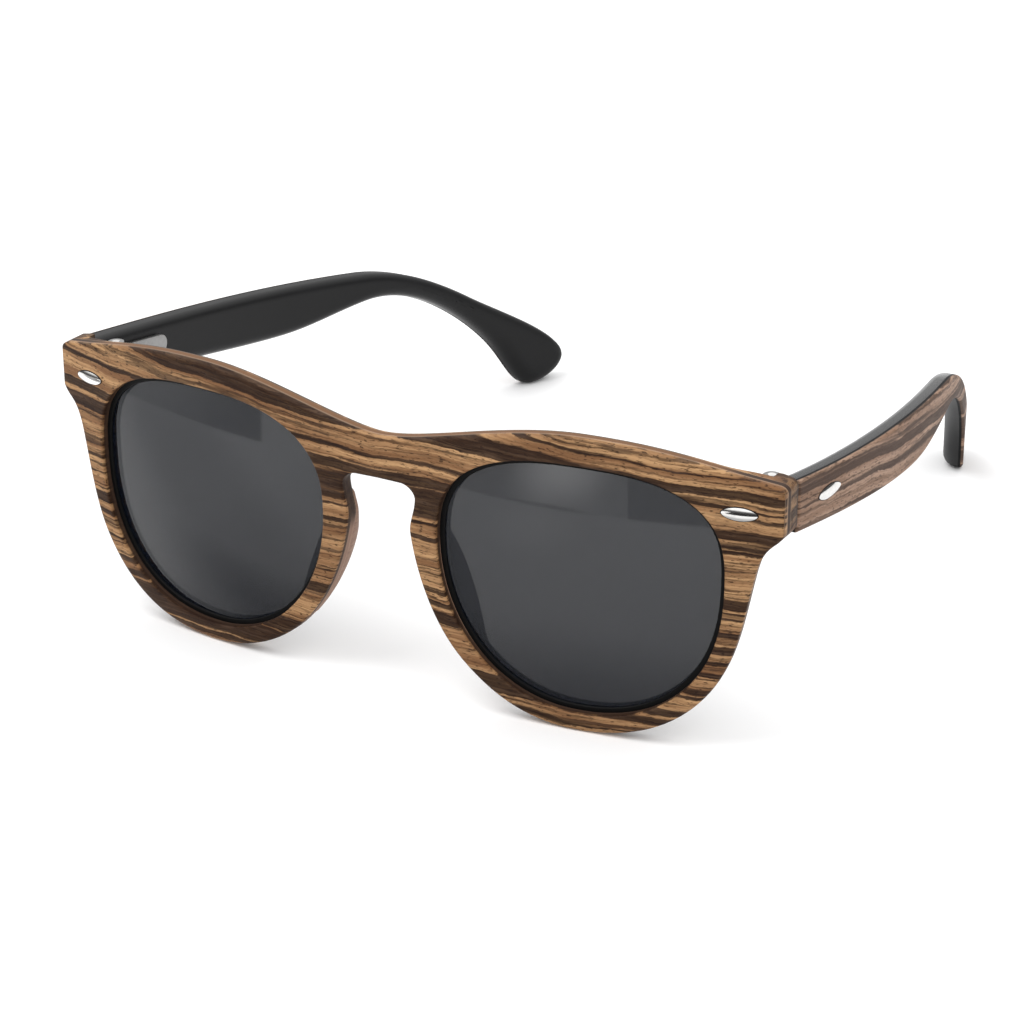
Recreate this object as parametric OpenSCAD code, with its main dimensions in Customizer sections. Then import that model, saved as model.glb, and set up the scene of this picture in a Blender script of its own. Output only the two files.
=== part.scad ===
// Wooden sunglasses: a laminated, gently wrapped wood front with dark lenses in black rim
// liners, and two bowed temples of black core and wood veneer that fold on metal hinges.
// Millimetres, +Z up, front towards -Y. The frame stands open on its rims and temple tips:
// Z = 0 is the surface under it, X = 0 its mirror plane and Y = 0 half of its depth.
// Left is -X and right is +X, as seen from in front.

/* [Front] */
// Width of the front from end piece to end piece
front_w = 145.5; // [140:0.5:154]
// Radius of the front's wrap, seen from above
wrap_r = 330; // [280:5:450]
// Thickness of the outer wood ply
outer_ply_t = 1.4; // [1.2:0.1:2.2]
// Thickness of the dark core ply
core_ply_t = 1; // [0.8:0.1:1.6]
// Thickness of the inner wood ply
inner_ply_t = 1.6; // [1.2:0.1:2.2]
// Width of the rim under and outside the lens
rim_w = 3.4; // [2.6:0.1:4.4]
// Width of the rim beside the nose, where it is widest
rim_nose = 5.2; // [4.6:0.1:5.8]
// Width of the rim towards the temple, just above the lens's widest line
rim_side = 5; // [4.2:0.1:6]
// Height of the brow above the lens opening
brow_h = 5; // [4:0.1:6.5]
// Drop of the bridge's top edge below the top of the brow
bridge_drop = 6; // [4:0.1:7.5]
// Height of the bridge between its top edge and the keyhole
bridge_h = 7.8; // [6.5:0.1:9.5]
// Widening of the keyhole under the bridge, on each side
key_bulge = 1.0; // [0.4:0.1:1.6]
// Drop of the end pieces' top edge below the top of the brow
end_drop = 4; // [3:0.1:5.5]
// Height of the end pieces
end_h = 9.5; // [8.5:0.1:11]
// Depth of the flat hinge seat behind the back corner of an end piece
end_seat_t = 1.5; // [0.8:0.1:2.2]

/* [Lenses] */
// Width of a lens opening
lens_w = 51.8; // [48:0.1:55]
// Height of a lens opening
lens_h = 45.7; // [42:0.1:49]
// Distance between the two lens openings
lens_gap = 23; // [20:0.5:25]
// Height of the widest line above the bottom of the opening
widest_h = 28; // [25:0.5:31]
// Thickness of a lens
lens_t = 1.6; // [1.2:0.1:2]
// Width of the black rim liner around a lens
liner_w = 0.9; // [0.7:0.1:1.3]
// Thickness of the liner's lip before and behind the lens
liner_lip_t = 0.4; // [0.3:0.1:0.6]
// Depth of the lens groove in the liner
groove_d = 0.5; // [0.3:0.1:0.6]

/* [Nose pads] */
// Depth of the wooden nose pads behind the front
pad_d = 2.8; // [1.5:0.1:4]
// Distance of a nose pad's thickest place below the lens's widest line
pad_drop = 6.5; // [4:0.5:9]
// Radius of a nose pad's back, seen from the side
pad_r = 42; // [36:1:60]
// Width of a nose pad at its middle, where it reaches behind the lens
pad_w = 8; // [6:0.1:9]

/* [Temples] */
// Depth of the whole frame, from the bridge to the back of the temple tips
reach = 155.5; // [148:0.5:166]
// Radius of the temples' bow, seen from above
bow_r = 340; // [290:5:420]
// Distance of the bow's outermost line behind the joint
bow_y = 18; // [10:1:26]
// Thickness of the black temple core
core_t = 3.2; // [2.6:0.1:3.8]
// Thickness of the wood veneer on the temple's outer face
veneer_t = 1.1; // [0.8:0.1:1.5]
// Height of a temple at its joint
temple_h = 9.3; // [8:0.1:10]
// Fall of the temple's top edge from the joint to the ear bend
ear_drop = 11.5; // [10:0.1:14]
// Height of a temple at its waist before the ear bend
waist_h = 6.4; // [5.4:0.1:7.4]
// Step down from the end piece's top edge to the temple's
temple_step = 0.7; // [0:0.1:1.2]

/* [Hinges] */
// Outer radius of a hinge knuckle
knuckle_r = 1.5; // [1.3:0.05:1.7]
// Height of the three knuckles together
barrel_h = 7.4; // [6.6:0.1:8.2]
// Radius of the hinge screw
screw_r = 0.7; // [0.6:0.05:0.8]
// Radius of the screw's head
screw_head_r = 1.3; // [1.1:0.05:1.45]
// Height of the screw's head
screw_head_h = 0.9; // [0.6:0.1:1.2]
// Thickness of the hinge leaves
leaf_t = 1.0; // [0.8:0.1:1.2]
// Height of the hinge leaves
leaf_h = 3.8; // [3.4:0.1:4.6]
// Length of the leaf on the temple behind the hinge axis
temple_leaf_l = 17.9; // [15:0.1:20]
// Distance of the hinge's middle below the middle of the end piece
hinge_drop = 0.6; // [0:0.1:1]
// Margin of a hinge leaf around its rivet
leaf_margin = 1.7; // [1.2:0.1:2.2]

/* [Rivets] */
// Length of a pointed-oval rivet head on the front
rivet_l = 6.2; // [5.6:0.1:7]
// Length of a rivet head on a temple
temple_rivet_l = 8.8; // [7:0.1:9.5]
// Width of a rivet head
rivet_w = 2.3; // [2:0.1:2.8]
// Height of a rivet head's dome
rivet_h = 0.7; // [0.5:0.05:0.9]
// Radius of the two shanks under a rivet head
shank_r = 0.6; // [0.5:0.05:0.7]
// Distance between the two shanks
shank_gap = 3; // [2.6:0.1:3.2]
// Distance of the front rivet from the end of the front
front_rivet_inset = 7.3; // [6.8:0.1:7.8]
// Distance of the temple rivet behind the hinge axis
temple_rivet_back = 9.2; // [8:0.1:12]

/* [Fits] */
// Gap between the end piece and the temple, open
joint_gap = 0.25; // [0.2:0.05:0.4]
// Gap around moving hinge pieces
hinge_gap = 0.35; // [0.3:0.05:0.5]
// Radial clearance of the screw in the temple's knuckle
screw_clear = 0.05; // [0.02:0.01:0.08]
// Gap between the knuckles along the axis
knuckle_gap = 0.1; // [0.05:0.05:0.2]

/* [Hidden] */
// Segments of the large round surfaces, of small round pieces and of a quarter of a lens outline
big_fn = 720;
small_fn = 48;
quarter = 18;
// Overlap that makes a cut pass through a face
cut = 1;

front_t = outer_ply_t + core_ply_t + inner_ply_t;
half_w = front_w / 2;
core_r = wrap_r - outer_ply_t;
inner_r = core_r - core_ply_t;
back_r = wrap_r - front_t;

lens_x = lens_gap / 2 + lens_w / 2;
widest_z = rim_w + widest_h;
lens_top = rim_w + lens_h;
brow_top = lens_top + brow_h;
bridge_top = brow_top - bridge_drop;
key_top = bridge_top - bridge_h;
nose_half = lens_gap / 2 - rim_nose;
end_top = brow_top - end_drop;
end_bottom = end_top - end_h;
// Roundness of the end piece's corners, and the depth of the sweep from it into the rim
end_round = 1.3;
end_sweep = 0.7;

// The liner lies flush with the back of the front, and the lens in the middle of it
liner_t = lens_t + 2 * liner_lip_t;
liner_front_r = back_r + liner_t;
lens_front_r = liner_front_r - liner_lip_t;
lens_out = groove_d - liner_w;

// Roundness of the lens outline's quarters: brow outside, brow nose side, cheek nose side, cheek outside
lens_power = [2.75, 2.55, 2.05, 2.3];
// Angles on the lens outline where the outer rim leaves its end piece, and where the nose pad ends
rim_start = 20;
pad_to = 52;
pad_z = widest_z - pad_drop;

joint_y = wrap_y(half_w, back_r) + end_seat_t;
temple_y = joint_y + joint_gap;
temple_top = end_top - temple_step;
temple_t = core_t + veneer_t;
bow_mid_y = joint_y + bow_y;
bow_x = half_w - sqrt(bow_r ^ 2 - bow_y ^ 2);
face_r = bow_r - temple_t;

axis_x = half_w - temple_t - hinge_gap - knuckle_r;
axis_y = joint_y + leaf_t + knuckle_r + hinge_gap;
hinge_z = (end_top + end_bottom) / 2 - hinge_drop;
knuckle_h = barrel_h / 3;
// Slope of the temple's middle line behind the hinge, in degrees
leaf_slope = 8;
front_rivet_x = half_w - front_rivet_inset;
temple_rivet_y = axis_y + temple_rivet_back;
temple_rivet_z = hinge_z - temple_rivet_back * tan(leaf_slope);
// The front leaf starts at leaf_x. The flat seat around it reaches from seat_x and from seat_bottom
// to seat_top, and beyond joint_x it takes the whole height of the end piece.
seat_edge = 0.5;
leaf_x = front_rivet_x - shank_gap / 2 - leaf_margin;
seat_x = leaf_x - seat_edge;
seat_top = hinge_z + barrel_h / 2 + seat_edge;
seat_bottom = end_bottom - end_sweep;
joint_x = axis_x + knuckle_r + 2 * seat_edge;

// Curves

function heading(a) = [cos(a), sin(a)];
function bezier(a, b, c, d, steps) = [
    for (i = [0 : steps - 1]) let (t = i / steps, u = 1 - t)
        u ^ 3 * a + 3 * u ^ 2 * t * b + 3 * u * t ^ 2 * c + t ^ 3 * d
];
// A smooth path through [point, heading in degrees, reach in, reach out, steps to the next]
function path(stops) = [
    for (i = [0 : len(stops) - 2]) let (p = stops[i], q = stops[i + 1])
        each bezier(p[0], p[0] + p[3] * heading(p[1]), q[0] - q[2] * heading(q[1]), q[0], p[4])
];
function reversed(list) = [for (i = [len(list) - 1 : -1 : 0]) list[i]];

// Depth of the wrapped surface of radius r at x
function wrap_y(x, r) = wrap_r - sqrt(r ^ 2 - x ^ 2);
// Side position of the bowed surface of radius r at y
function bow_side(y, r) = bow_x + sqrt(r ^ 2 - (y - bow_mid_y) ^ 2);

// Unit normal of the lens outline in quarter q, at angle t from its widest line
function lens_normal(q, t) = let (
    n = lens_power[q], b = q < 2 ? lens_h - widest_h : widest_h,
    v = [cos(t) ^ (2 - 2 / n) * 2 / lens_w, sin(t) ^ (2 - 2 / n) / b]
) v / norm(v);
// Point of the right lens outline, moved out by d
function lens_point(q, t, d) = let (
    n = lens_power[q], b = q < 2 ? lens_h - widest_h : widest_h,
    p = [cos(t) ^ (2 / n) * lens_w / 2, sin(t) ^ (2 / n) * b] + d * lens_normal(q, t)
) [lens_x + (q == 0 || q == 3 ? p[0] : -p[0]), widest_z + (q < 2 ? p[1] : -p[1])];
function lens_outline(d) = [
    for (q = [0 : 3]) for (i = [0 : quarter - 1]) let (t = 90 * i / quarter)
        lens_point(q, q % 2 == 0 ? t : 90 - t, d)
];

// Width of the rim beside the nose, at angle t below the widest line
function nose_rim(t) = rim_w + (rim_nose - rim_w) * (1 - sin(t)) ^ 3;
function rim_heading(t) = let (v = lens_normal(3, t)) atan2(-v[1], v[0]) - 90;

// The keyhole's edge from the nose side of the rim to the middle of the bridge
nose_stops = [
    [[nose_half, widest_z], 96, 0, 2, 5],
    [[nose_half + key_bulge, key_top - 2.6], 88, 2.4, 1.3, 5],
    [[nose_half - 1.7, key_top - 0.1], 178, 1.2, 1.5, 1],
    [[0, key_top], 180, 1, 0, 0]
];
// The right half of the front's outline, from the top of the bridge to the keyhole
function front_half() = concat(
    path([
        [[0, bridge_top], 0, 0, 8, 8],
        [[lens_x + 0.5, brow_top], 0, 14, 14, 10],
        [[half_w - end_round, end_top], -10, 14, end_round / 2, 3],
        [[half_w, end_top - end_round], -90, end_round / 2, 1, 1],
        [[half_w, end_bottom + end_round], -90, 1, end_round / 2, 3],
        [[half_w - end_round, end_bottom - end_sweep], -138, end_round / 2, 1.8, 6],
        [[lens_x + lens_w / 2 + rim_side, widest_z + 2.3], -102, 4, 5, 4],
        [lens_point(3, rim_start, rim_w), rim_heading(rim_start), 5, 0, 0]
    ]),
    [for (t = [rim_start : 5 : 89]) lens_point(3, t, rim_w)],
    [for (t = [90 : -5 : 1]) lens_point(2, t, nose_rim(t))],
    path(nose_stops),
    [[0, key_top]]
);
function front_outline() = let (half = front_half(), n = len(half)) concat(
    half, [for (i = [n - 2 : -1 : 1]) [-half[i][0], half[i][1]]]
);

// The nose side of the right rim, from the keyhole down
function nose_edge() = concat(
    reversed(path([nose_stops[0], nose_stops[1]])),
    [for (t = [4 : 4 : pad_to]) lens_point(2, t, nose_rim(t))]
);
// The nose pad's outline: a crescent along that edge, towards the lens
function pad_outline() = let (edge = nose_edge(), n = len(edge) - 1, mid = [lens_x, pad_z]) concat(
    edge,
    [for (i = [n - 1 : -1 : 1]) let (v = mid - edge[i])
        edge[i] + pad_w * sqrt(sin(180 * i / n)) * v / norm(v)]
);

// The temple's side outline in depth and height, from the top of its front end
function temple_outline() = let (ear_z = temple_top - ear_drop) path([
    [[temple_y, temple_top], -8.5, 0, 25, 6],
    [[reach - 57, ear_z], -9, 28, 10, 8],
    [[reach - 26, ear_z - 12.9], -32.5, 13, 10.5, 6],
    [[reach, 5.5], -90, 5, 3, 5],
    [[reach - 8, 0], 180, 4.5, 3.5, 5],
    [[reach - 18.6, 11.7], 131, 7, 10, 8],
    [[reach - 57, ear_z - waist_h + 0.4], 181, 16, 9, 5],
    [[reach - 81, ear_z - waist_h - 0.1], 176, 8, 14, 8],
    [[temple_y, temple_top - temple_h], 171.5, 25, 0, 1],
    [[temple_y, temple_top], 90, 0, 0, 0]
]);

// Solids that several pieces share

// Puts a piece of the right half at its side: 1 right, -1 left, with Y = 0 at half the depth
module at_side(side) {
    translate([0, -reach / 2, 0])
        if (side > 0) children();
        else mirror([1, 0, 0]) children();
}
module along_y(y0, y1) {
    translate([0, y1, 0]) rotate([90, 0, 0]) linear_extrude(y1 - y0) children();
}
module along_x(x0, x1) {
    translate([x0, 0, 0]) rotate([90, 0, 90]) linear_extrude(x1 - x0) children();
}
module wrap_cylinder(r) {
    translate([0, wrap_r, -cut]) cylinder(r = r, h = brow_top + 2 * cut, $fn = big_fn);
}
module bow_cylinder(r) {
    translate([bow_x, bow_mid_y, -cut]) cylinder(r = r, h = brow_top + 2 * cut, $fn = big_fn);
}
// What lies between two radii of the wrap, over the right or whole front
module wrap_layer(r_out, r_in, y_end) {
    difference() {
        intersection() {
            along_y(-cut, y_end) children();
            wrap_cylinder(r_out);
        }
        wrap_cylinder(r_in);
    }
}
module bow_layer(r_out, r_in) {
    difference() {
        intersection() {
            along_x(bow_x + bow_r - reach / 3, half_w + 2 * temple_t) children();
            bow_cylinder(r_out);
        }
        bow_cylinder(r_in);
    }
}
module front_shank_holes() {
    for (i = [-0.5, 0.5], side = [-1, 1])
        translate([side * (front_rivet_x + i * shank_gap), -cut, hinge_z]) rotate([-90, 0, 0])
            cylinder(r = shank_r, h = joint_y + leaf_t + 2 * cut, $fn = small_fn);
}
module temple_shank_holes() {
    for (i = [-0.5, 0.5])
        translate([axis_x - cut, temple_rivet_y + i * shank_gap, temple_rivet_z]) rotate([0, 90, 0])
            cylinder(r = shank_r, h = temple_t + knuckle_r + 3 * cut, $fn = small_fn);
}
module lens_cuts(d) {
    for (side = [0, 1]) mirror([side, 0, 0])
        along_y(-2 * cut, 2 * joint_y) polygon(lens_outline(d));
}
// A pointed-oval dome of length l on the plane z = 0, long in X
module rivet_head(l) {
    tip_r = (l ^ 2 + rivet_w ^ 2) / (4 * rivet_w);
    edge_h = 0.15;
    // The arc along the head passes a little over the arc across it
    across_h = rivet_h - edge_h;
    along_h = across_h + 0.12;
    across_r = ((rivet_w / 2) ^ 2 + across_h ^ 2) / (2 * across_h);
    along_r = ((l / 2) ^ 2 + along_h ^ 2) / (2 * along_h);
    intersection() {
        oval_prism(tip_r);
        translate([-l, 0, rivet_h - across_r]) rotate([0, 90, 0])
            cylinder(r = across_r, h = 2 * l, $fn = 2 * small_fn);
        translate([0, rivet_w, edge_h + along_h - along_r]) rotate([90, 0, 0])
            cylinder(r = along_r, h = 2 * rivet_w, $fn = 4 * small_fn);
    }
}
module oval_prism(tip_r) {
    intersection() {
        translate([0, tip_r - rivet_w / 2, 0])
            cylinder(r = tip_r, h = 2 * rivet_h, $fn = 4 * small_fn);
        translate([0, rivet_w / 2 - tip_r, 0])
            cylinder(r = tip_r, h = 2 * rivet_h, $fn = 4 * small_fn);
    }
}

// Front pieces

module front_outer_ply() color("peru") at_side(1) difference() {
    wrap_layer(wrap_r, core_r, joint_y) polygon(front_outline());
    lens_cuts(0);
    front_shank_holes();
}
module front_core_ply() color("saddlebrown") at_side(1) difference() {
    wrap_layer(core_r, inner_r, joint_y) polygon(front_outline());
    lens_cuts(0);
    front_shank_holes();
}
// Where the inner ply is thicker, behind an end piece: its flat back carries the hinge and stops the temple
module hinge_seat() {
    translate([seat_x, 0, seat_bottom]) cube([half_w, joint_y + cut, seat_top - seat_bottom]);
    translate([joint_x, 0, seat_bottom]) cube([half_w, joint_y + cut, brow_top - seat_bottom]);
}
module front_inner_ply() color("burlywood") at_side(1) difference() {
    intersection() {
        along_y(-cut, joint_y) polygon(front_outline());
        wrap_cylinder(inner_r);
    }
    difference() {
        wrap_cylinder(back_r);
        for (side = [0, 1]) mirror([side, 0, 0]) hinge_seat();
    }
    lens_cuts(0);
    front_shank_holes();
}
module rim_liner(side) color("black") at_side(side) difference() {
    wrap_layer(liner_front_r, back_r, joint_y) polygon(lens_outline(0));
    wrap_layer(lens_front_r, lens_front_r - lens_t, joint_y) polygon(lens_outline(lens_out));
    along_y(-2 * cut, 2 * joint_y) polygon(lens_outline(-liner_w));
}
module lens(side) color("dimgray") at_side(side)
    wrap_layer(lens_front_r, lens_front_r - lens_t, joint_y) polygon(lens_outline(lens_out));
module nose_pad(side) color("tan") at_side(side) intersection() {
    wrap_layer(back_r, back_r - 2 * pad_d, joint_y) polygon(pad_outline());
    translate([0, wrap_y(nose_half, back_r) + pad_d - pad_r, pad_z]) rotate([0, 90, 0])
        cylinder(r = pad_r, h = lens_x, $fn = 4 * small_fn);
}
module front_rivet(side) color("silver") at_side(side) {
    turn = asin(front_rivet_x / wrap_r);
    translate([front_rivet_x, wrap_y(front_rivet_x, wrap_r), hinge_z]) rotate([90, 0, turn])
        rivet_head(rivet_l);
    intersection() {
        front_shank_holes();
        translate([0, 0, hinge_z - rivet_w]) cube([half_w, joint_y + leaf_t, 2 * rivet_w]);
        wrap_cylinder(wrap_r + rivet_h / 4);
    }
}

// Hinge pieces

// One knuckle from z0 to z1, with a web of the knuckle's width to y
module knuckle(z0, z1, web_x, web_w, web_y) {
    translate([axis_x, axis_y, z0]) cylinder(r = knuckle_r, h = z1 - z0, $fn = small_fn);
    translate([web_x, min(axis_y, web_y), z0]) cube([web_w, abs(axis_y - web_y), z1 - z0]);
}
module screw_hole(r) {
    translate([axis_x, axis_y, hinge_z - barrel_h]) cylinder(r = r, h = 2 * barrel_h, $fn = small_fn);
}
module front_hinge_leaf(side) color("lightgray") at_side(side) difference() {
    union() {
        translate([leaf_x, joint_y, hinge_z - leaf_h / 2])
            cube([axis_x + knuckle_r - leaf_x, leaf_t, leaf_h]);
        for (i = [-1, 1]) let (
            z0 = hinge_z + (i > 0 ? knuckle_h / 2 : -barrel_h / 2)
        ) knuckle(z0, z0 + knuckle_h, axis_x - knuckle_r, 2 * knuckle_r, joint_y);
    }
    screw_hole(screw_r);
    front_shank_holes();
}
module temple_hinge_leaf(side) color("lightgray") at_side(side) difference() {
    z0 = hinge_z - knuckle_h / 2 + knuckle_gap;
    strip_y = axis_y + knuckle_r + hinge_gap;
    union() {
        bow_layer(face_r, face_r - leaf_t) temple_strip(strip_y);
        knuckle(z0, z0 + knuckle_h - 2 * knuckle_gap, axis_x, knuckle_r, strip_y + leaf_t);
    }
    screw_hole(screw_r + screw_clear);
    temple_shank_holes();
}
// The leaf's strip in depth and height, sloping with the temple and round at its back
module temple_strip(y0) {
    end_r = leaf_h / 2;
    l0 = (y0 - axis_y) / cos(leaf_slope);
    arc = [for (a = [-90 : 15 : 90]) [temple_leaf_l - end_r, 0] + end_r * heading(a)];
    translate([axis_y, hinge_z]) rotate(-leaf_slope) polygon(concat([[l0, end_r], [l0, -end_r]], arc));
}
module hinge_screw(side) color("gainsboro") at_side(side) {
    top_z = hinge_z + barrel_h / 2;
    slot = [4 * screw_head_r, 0.4, 0.4];
    difference() {
        translate([axis_x, axis_y, 0]) union() {
            translate([0, 0, top_z - barrel_h]) cylinder(r = screw_r, h = barrel_h + cut / 2, $fn = small_fn);
            translate([0, 0, top_z]) cylinder(r = screw_head_r, h = screw_head_h, $fn = small_fn);
        }
        translate([axis_x, axis_y, top_z + screw_head_h])
            cube([slot[0], slot[1], 2 * slot[2]], center = true);
    }
}

// Temple pieces

module temple_core(side) color("black") at_side(side) difference() {
    bow_layer(bow_r - veneer_t, face_r) polygon(temple_outline());
    temple_shank_holes();
}
module temple_veneer(side) color("peru") at_side(side) difference() {
    bow_layer(bow_r, bow_r - veneer_t) polygon(temple_outline());
    temple_shank_holes();
}
module temple_rivet(side) color("silver") at_side(side) {
    turn = asin((temple_rivet_y - bow_mid_y) / bow_r);
    translate([bow_side(temple_rivet_y, bow_r), temple_rivet_y, temple_rivet_z])
        rotate([90, 0, 90 + turn]) rivet_head(temple_rivet_l);
    difference() {
        intersection() {
            temple_shank_holes();
            cube([bow_side(temple_rivet_y, bow_r) + rivet_h / 3, reach, brow_top]);
        }
        bow_cylinder(face_r - leaf_t);
    }
}

front_outer_ply();
front_core_ply();
front_inner_ply();
rim_liner(-1);  // left_rim_liner
rim_liner(1);  // right_rim_liner
lens(-1);  // left_lens
lens(1);  // right_lens
nose_pad(-1);  // left_nose_pad
nose_pad(1);  // right_nose_pad
front_rivet(-1);  // left_front_rivet
front_rivet(1);  // right_front_rivet
front_hinge_leaf(-1);  // left_front_hinge_leaf
front_hinge_leaf(1);  // right_front_hinge_leaf
hinge_screw(-1);  // left_hinge_screw
hinge_screw(1);  // right_hinge_screw
temple_core(-1);  // left_temple_core
temple_core(1);  // right_temple_core
temple_veneer(-1);  // left_temple_veneer
temple_veneer(1);  // right_temple_veneer
temple_hinge_leaf(-1);  // left_temple_hinge_leaf
temple_hinge_leaf(1);  // right_temple_hinge_leaf
temple_rivet(-1);  // left_temple_rivet
temple_rivet(1);  // right_temple_rivet
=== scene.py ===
"""Looks of the wooden sunglasses: a laminated striped front, dark lenses in black liners, and two bowed
temples of black core and striped veneer on metal hinges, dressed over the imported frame."""

from math import asin, atan2, ceil, cos, degrees, pi, radians, sin, sqrt, tan

import bmesh
import bpy
from bpy.props import FloatProperty, FloatVectorProperty, PointerProperty
from mathutils import Matrix, Vector


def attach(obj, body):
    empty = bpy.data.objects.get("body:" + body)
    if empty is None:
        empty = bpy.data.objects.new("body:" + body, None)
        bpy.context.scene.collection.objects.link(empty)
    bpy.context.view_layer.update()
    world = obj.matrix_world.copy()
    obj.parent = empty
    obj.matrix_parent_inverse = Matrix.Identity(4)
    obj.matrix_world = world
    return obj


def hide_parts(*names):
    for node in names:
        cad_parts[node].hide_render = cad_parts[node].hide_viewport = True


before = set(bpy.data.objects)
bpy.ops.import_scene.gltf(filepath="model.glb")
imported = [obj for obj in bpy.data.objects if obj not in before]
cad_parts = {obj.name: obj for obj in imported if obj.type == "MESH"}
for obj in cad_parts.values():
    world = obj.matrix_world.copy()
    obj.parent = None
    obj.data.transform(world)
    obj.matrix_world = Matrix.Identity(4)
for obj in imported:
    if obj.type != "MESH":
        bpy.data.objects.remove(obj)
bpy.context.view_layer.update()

bl_info = {
    "name": "Wooden Sunglasses",
    "version": (1, 0, 0),
    "blender": (4, 5, 0),
    "location": "3D View > Sidebar > Sunglasses",
    "description": "Builds a pair of folding wooden sunglasses over its packed frame",
    "category": "Add Mesh",
}

SIDES = (("left", -1), ("right", 1))
MM = 0.001
# Curve steps for each step of the source's outlines, and angle above which an edge stays sharp
FINE = 3
SHARP = radians(32)
# Steps of a rounded edge, and width of the flat band that keeps a face's shading flat beside it
ROUND_STEPS = 5
BAND = 0.4


# Sizes and colours

def length(name, size, description):
    """A property for a length that is given in millimetres."""
    return FloatProperty(name=name, description=description, default=size * MM, unit="LENGTH", precision=5)


def colour(name, shade, description):
    return FloatVectorProperty(name=name, description=description, default=shade, size=3,
                               subtype="COLOR", min=0, max=1)


class SunglassesSizes(bpy.types.PropertyGroup):
    """Sizes of the frame, as in the part's source, and the roundings that only the looks have"""
    front_w: length("Front width", 145.5, "Width of the front from end piece to end piece")
    wrap_r: length("Wrap radius", 330, "Radius of the front's wrap, seen from above")
    outer_ply_t: length("Outer ply", 1.4, "Thickness of the outer wood ply")
    core_ply_t: length("Core ply", 1, "Thickness of the dark core ply")
    inner_ply_t: length("Inner ply", 1.6, "Thickness of the inner wood ply")
    rim_w: length("Rim width", 3.4, "Width of the rim under and outside the lens")
    rim_nose: length("Nose rim width", 5.2, "Width of the rim beside the nose")
    rim_side: length("Side rim width", 5, "Width of the rim towards the temple")
    brow_h: length("Brow height", 5, "Height of the brow above the lens opening")
    bridge_drop: length("Bridge drop", 6, "Drop of the bridge below the top of the brow")
    bridge_h: length("Bridge height", 7.8, "Height of the bridge over the keyhole")
    key_bulge: length("Keyhole bulge", 1, "Widening of the keyhole under the bridge")
    end_drop: length("End piece drop", 4, "Drop of the end pieces below the top of the brow")
    end_h: length("End piece height", 9.5, "Height of the end pieces")
    end_seat_t: length("Hinge seat depth", 1.5, "Depth of the flat hinge seat behind an end piece")
    lens_w: length("Lens width", 51.8, "Width of a lens opening")
    lens_h: length("Lens height", 45.7, "Height of a lens opening")
    lens_gap: length("Lens distance", 23, "Distance between the two lens openings")
    widest_h: length("Widest line", 28, "Height of the widest line above the bottom of the opening")
    lens_t: length("Lens thickness", 1.6, "Thickness of a lens")
    liner_w: length("Liner width", 0.9, "Width of the black liner around a lens")
    liner_lip_t: length("Liner lip", 0.4, "Thickness of the liner's lip before and behind the lens")
    groove_d: length("Groove depth", 0.5, "Depth of the lens groove in the liner")
    pad_d: length("Nose pad depth", 2.8, "Depth of the nose pads behind the front")
    pad_drop: length("Nose pad drop", 6.5, "Distance of a pad's thickest place below the widest line")
    pad_r: length("Nose pad radius", 42, "Radius of a nose pad's back, seen from the side")
    pad_w: length("Nose pad width", 8, "Width of a nose pad, where it reaches behind the lens")
    reach: length("Depth", 155.5, "Depth of the frame from the bridge to the temple tips")
    bow_r: length("Bow radius", 340, "Radius of the temples' bow, seen from above")
    bow_y: length("Bow start", 18, "Distance of the bow's outermost line behind the joint")
    core_t: length("Core thickness", 3.2, "Thickness of the black temple core")
    veneer_t: length("Veneer thickness", 1.1, "Thickness of the veneer on a temple")
    temple_h: length("Temple height", 9.3, "Height of a temple at its joint")
    ear_drop: length("Ear drop", 11.5, "Fall of the temple's top edge to the ear bend")
    waist_h: length("Waist height", 6.4, "Height of a temple at its waist")
    temple_step: length("Temple step", 0.7, "Step down from the end piece to the temple")
    knuckle_r: length("Knuckle radius", 1.5, "Outer radius of a hinge knuckle")
    barrel_h: length("Barrel height", 7.4, "Height of the three knuckles together")
    screw_r: length("Screw radius", 0.7, "Radius of the hinge screw")
    screw_head_r: length("Screw head radius", 1.3, "Radius of the hinge screw's head")
    screw_head_h: length("Screw head height", 0.9, "Height of the hinge screw's head")
    leaf_t: length("Leaf thickness", 1, "Thickness of the hinge leaves")
    hinge_drop: length("Hinge drop", 0.6, "Distance of the hinge below the end piece's middle")
    rivet_l: length("Front rivet length", 6.2, "Length of a rivet head on the front")
    temple_rivet_l: length("Temple rivet length", 8.8, "Length of a rivet head on a temple")
    rivet_w: length("Rivet width", 2.3, "Width of a rivet head")
    rivet_h: length("Rivet height", 0.7, "Height of a rivet head's dome")
    shank_r: length("Shank radius", 0.6, "Radius of the two shanks under a rivet head")
    shank_gap: length("Shank distance", 3, "Distance between the two shanks")
    rivet_inset: length("Front rivet inset", 7.3, "Distance of the front rivet from the front's end")
    rivet_back: length("Temple rivet distance", 9.2, "Distance of the temple rivet behind the hinge axis")
    hinge_gap: length("Hinge gap", 0.35, "Gap around moving hinge pieces")
    joint_gap: length("Joint gap", 0.25, "Gap between the end piece and the open temple")
    front_round: length("Front edge", 0.95, "Rounding of the front's outer edge")
    hole_round: length("Opening edge", 0.35, "Rounding of the lens openings' front edge")
    back_round: length("Back edge", 1.5, "Rounding of the front's back edge")
    core_round: length("Core edge", 1.7, "Rounding of the temple core's inner edge")
    veneer_round: length("Veneer edge", 0.6, "Rounding of the temple veneer's outer edge")


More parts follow.
